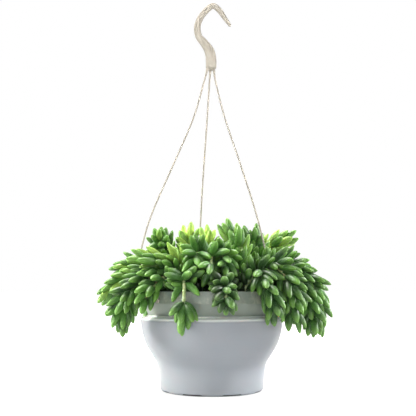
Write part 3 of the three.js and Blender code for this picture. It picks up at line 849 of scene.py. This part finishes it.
def wall_curve(outline, first, last):
    """The outline with its stretch from first to last made a smooth curve."""
    points = [np.array([r, 0, z], float) for r, z in outline[first:last + 1]]
    curve = smooth_points(points, 2 * points[0] - points[1], 6)
    return [*outline[:first], *[(p[0], p[2]) for p in curve], *outline[last + 1:]]


def pot_outline():
    outer = wall_curve(OUTER, 3, 9)
    inner = wall_curve(INNER, 5, 11)
    return rounded([(0, 0), *outer, *inner, (0, FLOOR)])


def lathe(outline, sides):
    """A closed turned solid from an outline that starts and ends on the axis."""
    angles = np.arange(sides) * 2 * np.pi / sides
    rings = []
    for r, z in outline[1:-1]:
        rings.append(np.column_stack([np.cos(angles) * r, np.sin(angles) * r, np.full(sides, z)]))
    first, last = outline[0], outline[-1]
    return capped_rings(rings, (0, 0, first[1]), (0, 0, last[1]))


def cut(piece, tools, operation="DIFFERENCE"):
    """Joins or cuts the tools, and deletes them."""
    for tool in tools:
        modifier = piece.modifiers.new("cut", "BOOLEAN")
        modifier.operation = operation
        modifier.solver = "EXACT"
        modifier.object = tool
        bpy.context.view_layer.objects.active = piece
        bpy.ops.object.modifier_apply(modifier=modifier.name)
        bpy.data.objects.remove(tool)


def rod_piece(name, start, end, radius, sides=ROD_SIDES):
    start, end = np.array(start, float), np.array(end, float)
    path = Path(np.array([start, end]))
    points, faces = tube(path, lambda d: radius, sides, [0, path.length])
    return mesh_piece(name, points, faces, [])


def hole_axis(bearing, radius):
    return bearing_direction(bearing) * radius + (0, 0, HANGER_HOLE_HEIGHT)


def slot_piece(name, bearing):
    """A block that cuts one slot out of the foot."""
    out, half = bearing_direction(bearing), SLOT_WIDTH / 2
    across = np.array([-out[1], out[0], 0])
    rings = []
    for r in (FOOT_RADIUS - SLOT_DEPTH, FOOT_RADIUS + 5):
        corners = [(-half, SLOT_FLOOR), (half, SLOT_FLOOR), (half, FOOT_RISE), (-half, FOOT_RISE)]
        rings.append(np.array([out * r + across * a + (0, 0, z) for a, z in corners]))
    points, faces = capped_rings(rings, rings[0].mean(axis=0), rings[1].mean(axis=0))
    return mesh_piece(name, points, faces, [])


def make_pot():
    points, faces = lathe(pot_outline(), POT_SIDES)
    pot = mesh_piece("pot_shell", points, faces, [pot_material()])
    tools = []
    for i in range(DRAIN_COUNT):
        place = bearing_direction(360 / DRAIN_COUNT * i + DRAIN_TURN) * DRAIN_CIRCLE
        tools.append(rod_piece("tool", place - (0, 0, FLOOR), place + (0, 0, 2 * FLOOR), DRAIN_RADIUS))
    reach = 4 * WALL
    for bearing in STRAND_BEARINGS.values():
        for turn, radius in ((0, HANGER_HOLE_RADIUS), (SPARE_HOLE_TURN, SPARE_HOLE_RADIUS)):
            start = hole_axis(bearing + turn, LIP_RADIUS - reach)
            end = hole_axis(bearing + turn, LIP_RADIUS + reach)
            tools.append(rod_piece("tool", start, end, radius))
    for i in range(SLOT_COUNT):
        tools.append(slot_piece("tool", 360 / SLOT_COUNT * (i + 0.5)))
    cut(pot, tools)
    keep_edges_sharp(pot, 40)
    return pot


def keep_edges_sharp(piece, degrees):
    mesh = bmesh.new()
    mesh.from_mesh(piece.data)
    for edge in mesh.edges:
        if len(edge.link_faces) == 2:
            edge.smooth = edge.calc_face_angle() < math.radians(degrees)
    for face in mesh.faces:
        face.smooth = True
    mesh.to_mesh(piece.data)
    mesh.free()


# ------------------------------------------------------------------ hanger


def hook_radius(fraction):
    stations = np.linspace(0, 1, len(HOOK))
    return float(np.interp(fraction, stations, [row[2] for row in HOOK]))


def rounded_end(distance, reach):
    """The share of a bar's radius that is left at a distance from its rounded end."""
    return math.sqrt(max(0.0, 1 - max(0.0, 1 - distance / reach) ** 2))


def make_hanger():
    path = open_path([(x, 0, z) for x, z, _ in HOOK], 16)
    foot = path.length - HOOK_FOOT_ROUNDING
    distances = [*np.linspace(0, foot, HOOK_STEPS), *(path.length - np.array(HOOK_LAST_STEPS))]

    def radius_at(d):
        tip_share = max(0.3, rounded_end(d, HOOK_TIP_ROUNDING))
        foot_share = max(0.55, rounded_end(path.length - d, HOOK_FOOT_ROUNDING))
        return hook_radius(d / path.length) * tip_share * foot_share

    points, faces = tube(path, radius_at, HOOK_SIDES, distances)
    points = np.clip(points, BOX_LOW, BOX_HIGH)
    hanger = mesh_piece("hanger_moulding", points, faces, [hanger_material()])
    cut(hanger, [bit for name in STRANDS for bit in strand_bits(name)], "UNION")
    keep_edges_sharp(hanger, 50)
    return hanger


def strand_bits(name):
    """One strand, flared where it leaves the hook, with its peg through the lip and its button."""
    path = open_path(STRANDS[name], 12)
    distances = np.linspace(0, path.length, int(path.length / STRAND_STEP))

    def radius_at(d):
        return STRAND_RADIUS + FLARE * max(0, 1 - d / FLARE_LENGTH) ** 1.6

    points, faces = tube(path, radius_at, STRAND_SIDES, distances)
    bearing = STRAND_BEARINGS[name]
    inside = hole_axis(bearing, LIP_RADIUS - PEG_INSIDE)
    outside = hole_axis(bearing, LIP_RADIUS + CLEARANCE)
    cap = hole_axis(bearing, LIP_RADIUS + CLEARANCE + BUTTON_THICKNESS)
    return [
        mesh_piece("bit", points, faces, []),
        rod_piece("bit", path.points[-1], inside, STRAND_RADIUS, STRAND_SIDES),
        rod_piece("bit", inside, (outside + cap) / 2, PEG_RADIUS),
        rod_piece("bit", outside, cap, BUTTON_RADIUS),
    ]


# ------------------------------------------------------------------ potting mix

SOIL_SIDES = 120
SOIL_RINGS = 44
SOIL_ROUGHNESS = 1.6
SOIL_WAVES = [(0.11, 0.07, 1.3), (-0.17, 0.21, 4.1), (0.37, 0.29, 2.2), (-0.53, 0.61, 0.7)]
CHIP_COUNT = 260


def bumps(x, y):
    """A rough height between -1 and 1, from a few waves that don't repeat."""
    rough = 0
    for i, (a, b, c) in enumerate(SOIL_WAVES):
        rough += np.sin(a * x + b * y + c) * np.cos(b * x - a * y + 2 * c) / (1 + 0.7 * i)
    return rough / 2.4


def make_soil():
    body = [(69, SOIL_FLOOR), (72.1, 27.5), (74.5, 39), (89.3, 64), (95, 80.5), (97.5, 96.8)]
    collar = [(85.2, 98.8), (85.2, 102.2), (LIP_RADIUS - WALL - 0.5, SOIL_TOP - 1)]
    top = [(r, SOIL_TOP - 1) for r in np.linspace(LIP_RADIUS - WALL - 2, 2, SOIL_RINGS)]
    outline = [(0, SOIL_FLOOR), *body, *collar, *top, (0, SOIL_TOP - 1)]
    points, faces = lathe(outline, SOIL_SIDES)
    upper = points[:, 2] > SOIL_TOP - 1.5
    points[upper, 2] += SOIL_ROUGHNESS * bumps(points[upper, 0], points[upper, 1])
    return mesh_piece("mix_bed", points, faces, [soil_material()])


def chip(draw):
    """An irregular flat bark chip somewhere on the mix."""
    r, angle = 90 * math.sqrt(draw()), draw() * 2 * math.pi
    size, turn, lean = 2 + 4 * draw(), draw() * math.pi, (draw() - 0.5) * 0.8
    centre = np.array([r * math.cos(angle), r * math.sin(angle), SOIL_TOP + 0.4])
    across = np.array([math.cos(turn), math.sin(turn), lean])
    up = np.array([-math.sin(turn), math.cos(turn), 0.3 * lean])
    normal = unit(np.cross(across, up))
    rings = []
    for height, share in ((-0.5, 0.8), (0, 1), (0.5, 0.75)):
        middle = centre + normal * height * size * 0.3
        ring = circle(middle, across, up, size * share, size * share * 0.6, 7)
        rings.append(ring + normal * 0.15 * size * (draw() - 0.5))
    low, high = rings[0].mean(axis=0), rings[-1].mean(axis=0) + normal * 0.1
    return capped_rings(rings, low, high)


def make_chips():
    draw = lehmer(501)
    parts = Parts()
    for _ in range(CHIP_COUNT):
        points, faces = chip(draw)
        parts.add(points, faces, 0, draw(), 0)
    piece = parts.build("mix_chips", [chip_material()])
    piece.data.polygons.foreach_set("use_smooth", np.zeros(len(piece.data.polygons), bool))
    return piece


# ------------------------------------------------------------------ plant


# How much yellower, as painted sunlight, and how much darker, below zero, as painted shade, each stem's
# leaves are coloured.
STEM_PAINTED_LIGHT = {
    "upright_centre": 0.8, "upright_centre_left": 0.85, "upright_left": 0.25, "upright_front": 0.2,
    "upright_right": -0.15, "branch_left_upper": 0.5, "branch_upper_right": 0.6, "branch_left": 0.4,
    "branch_far_left": 0.35, "branch_right": 0.1, "arch_front_left": 0.25, "hanging_front": -0.85,
    "tail_front_right_inner": -0.35, "tail_front_right": -0.3, "tail_front_right_outer": -0.25,
    "tail_right": -0.2, "tail_left": -0.05,
}
LEAF_TONE_SPREAD = 0.75
DEEPEST_SHADE = 1.5


def leaf_shade(leaf):
    """How shaded a leaf is: more, the nearer it lies to the mix and to the middle of the pot."""
    x, y, z = leaf_points(leaf, np.array([0.5]))[0]
    low = np.clip((SOIL_TOP + 50 - z) / 28, 0, 1)
    inner = np.clip((SHOULDER_RADIUS - 4 - math.hypot(x, y)) / 20, 0, 1)
    return DEEPEST_SHADE * low * inner


def shoot_rows():
    """Rows like those of STEMS for the short shoots inside the pot."""
    rows = []
    for i, (x, y) in enumerate(SHOOTS):
        draw = lehmer(300 + i)
        rise = SHOOT_HEIGHT * (0.7 + 0.6 * draw())
        out = 1 + 0.12 * draw()
        middle = (x * out, y * out, SOIL_TOP + 0.6 * rise)
        through = (middle, (x * out * 1.05, y * out * 1.05, SOIL_TOP + rise))
        rows.append(("shoot_%02d" % (i + 1), (x, y), through, 2, 11, 0.9, 0.72, 84, 40, 0.1, 300 + i))
    return rows


def grown_stems():
    """Each stem's row, path and leaves. The main leaves of all stems grow first, then the small
    ones between them, and last those of the inner shoots."""
    rows, shoots = list(STEMS), shoot_rows()
    paths = [stem_path(row[1], row[2]) for row in rows]
    taken = Taken()
    for owner, path in enumerate(paths):
        taken.add_bar(path, STEM_RADIUS, owner)
    for name in STRANDS:
        taken.add_bar(open_path(STRANDS[name]), STRAND_RADIUS, -1)
    leaves = [grow_leaves(path, row, owner, taken) for owner, (path, row) in enumerate(zip(paths, rows))]
    for owner, (path, row) in enumerate(zip(paths, rows)):
        leaves[owner] += fill_leaves(path, row, owner, taken)
    for owner, row in enumerate(shoots, len(rows)):
        paths.append(stem_path(row[1], row[2]))
        taken.add_bar(paths[owner], STEM_RADIUS, owner)
    for owner, row in enumerate(shoots, len(rows)):
        leaves.append(fill_leaves(paths[owner], row, owner, taken))
    return zip(rows + shoots, paths, leaves)


def make_plant():
    materials = [leaf_material(), stem_material()]
    tone = lehmer(77)
    pieces = []
    for row, path, leaves in grown_stems():
        parts = Parts()
        points, faces = stem_mesh(path)
        parts.add(points, faces, 1, 0.5, 0)
        for leaf in leaves:
            points, faces, along = leaf_mesh(leaf)
            points = np.clip(points, BOX_LOW, BOX_HIGH)
            # The tone is a random share plus the stem's painted sunlight or shade, less the leaf's
            # painted shade.
            tone_and_painted_light = LEAF_TONE_SPREAD * tone() + STEM_PAINTED_LIGHT.get(row[0], 0) - leaf_shade(leaf)
            parts.add(points, faces, 0, tone_and_painted_light, along)
        pieces.append((row[0], parts.build("leafy_" + row[0], materials)))
    return pieces


# ------------------------------------------------------------------ stage, lights and camera

FLOOR_REACH = 40000
FLOOR_DROP = 0.5


def make_floor():
    x, z = FLOOR_REACH, -FLOOR_DROP
    corners = [(-x, -x, z), (x, -x, z), (x, x, z), (-x, x, z)]
    floor = mesh_piece("floor", corners, [(0, 1, 2, 3)], [floor_material()])


# The sky is brightest towards SKY_TOP, above and behind the plant, and dimmest opposite it. The
# camera itself sees it plain white.
SKY_TOP = (0, 0.55, 0.835)
SKY_RAMP = {"From Min": -0.55, "From Max": 1, "To Min": 0.02, "To Max": 0.46}
SKY_SEEN = 1.0


def make_world():
    world = bpy.data.worlds.new("studio")
    bpy.context.scene.world = world
    world.use_nodes = True
    nodes, links = world.node_tree.nodes, world.node_tree.links
    background = next(n for n in nodes if n.type == "BACKGROUND")
    coordinates = nodes.new("ShaderNodeTexCoord")
    slope = nodes.new("ShaderNodeVectorMath")
    slope.operation = "DOT_PRODUCT"
    links.new(coordinates.outputs["Generated"], slope.inputs[0])
    slope.inputs[1].default_value = SKY_TOP
    depth = nodes.new("ShaderNodeMapRange")
    links.new(slope.outputs["Value"], depth.inputs["Value"])
    for socket, value in SKY_RAMP.items():
        depth.inputs[socket].default_value = value
    seen = nodes.new("ShaderNodeLightPath")
    choose = nodes.new("ShaderNodeMix")
    links.new(seen.outputs["Is Camera Ray"], choose.inputs["Factor"])
    links.new(depth.outputs["Result"], choose.inputs["A"])
    choose.inputs["B"].default_value = SKY_SEEN
    links.new(choose.outputs["Result"], background.inputs["Strength"])
    background.inputs["Color"].default_value = (1, 1, 1, 1)


# Round area lights, in metres from the pot's underside: name, place, height aimed at on the pot's
# axis, diameter, watts, colour, spread in degrees.
WARM, WHITE, COOL = (1, 0.98, 0.93), (1, 1, 1), (0.95, 0.98, 1)
LIGHTS = [
    ("key", (-0.8, 0.55, 2.5), 0.16, 0.85, 118, WARM, 180),
    ("back_top", (0, 1.2, 2.0), 0.16, 0.7, 24, WHITE, 180),
    ("left", (-1.1, -0.1, 0.55), 0.1, 0.5, 1.7, WARM, 32),
    ("right", (1.05, 0.05, 0.6), 0.1, 0.5, 1.7, WHITE, 32),
    ("hook_front", (0.1, -1.4, 0.9), 0.5, 0.3, 0.4, (1, 0.98, 0.95), 22),
    ("low_front", (0, -1.6, 0.35), 0.16, 0.9, 10, COOL, 180),
]


def area_light(name, place, aim_height, size, power, color, spread):
    light = bpy.data.lights.new(name, "AREA")
    light.shape = "DISK"
    light.size = size
    light.energy = power
    light.color = color
    light.spread = math.radians(spread)
    lamp = bpy.data.objects.new(name, light)
    lamp.location = Vector(place) + Vector((0, 0, BASE_Z))
    aim = Vector((0, 0, BASE_Z + aim_height)) - lamp.location
    lamp.rotation_euler = aim.to_track_quat("-Z", "Y").to_euler()
    bpy.context.scene.collection.objects.link(lamp)


# The camera stands in front of the pot, at about the height of its rim, and looks a little up.
CAMERA_PLACE = (-5.3, -1021, 138)
CAMERA_PITCH = 6.53
CAMERA_LENS = 61.96


def make_camera():
    lens = bpy.data.cameras.new("camera")
    lens.sensor_width = 36
    lens.lens = CAMERA_LENS
    camera = bpy.data.objects.new("camera", lens)
    camera.location = to_frame(CAMERA_PLACE)
    camera.rotation_euler = (math.radians(90 + CAMERA_PITCH), 0, 0)
    bpy.context.scene.collection.objects.link(camera)
    bpy.context.scene.camera = camera
    bpy.context.scene.view_settings.view_transform = "Standard"


# ------------------------------------------------------------------ the whole

make_camera()
make_world()
for light_row in LIGHTS:
    area_light(*light_row)
make_floor()

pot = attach(make_pot(), "root")
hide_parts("pot")
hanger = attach(make_hanger(), "root")
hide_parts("hanger")
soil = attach(make_soil(), "root")
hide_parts("potting_mix")
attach(make_chips(), "root")
stem_nodes = {row[0] for row in STEMS}
for stem, piece in make_plant():
    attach(piece, "root")
    if stem in stem_nodes:
        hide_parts(stem)
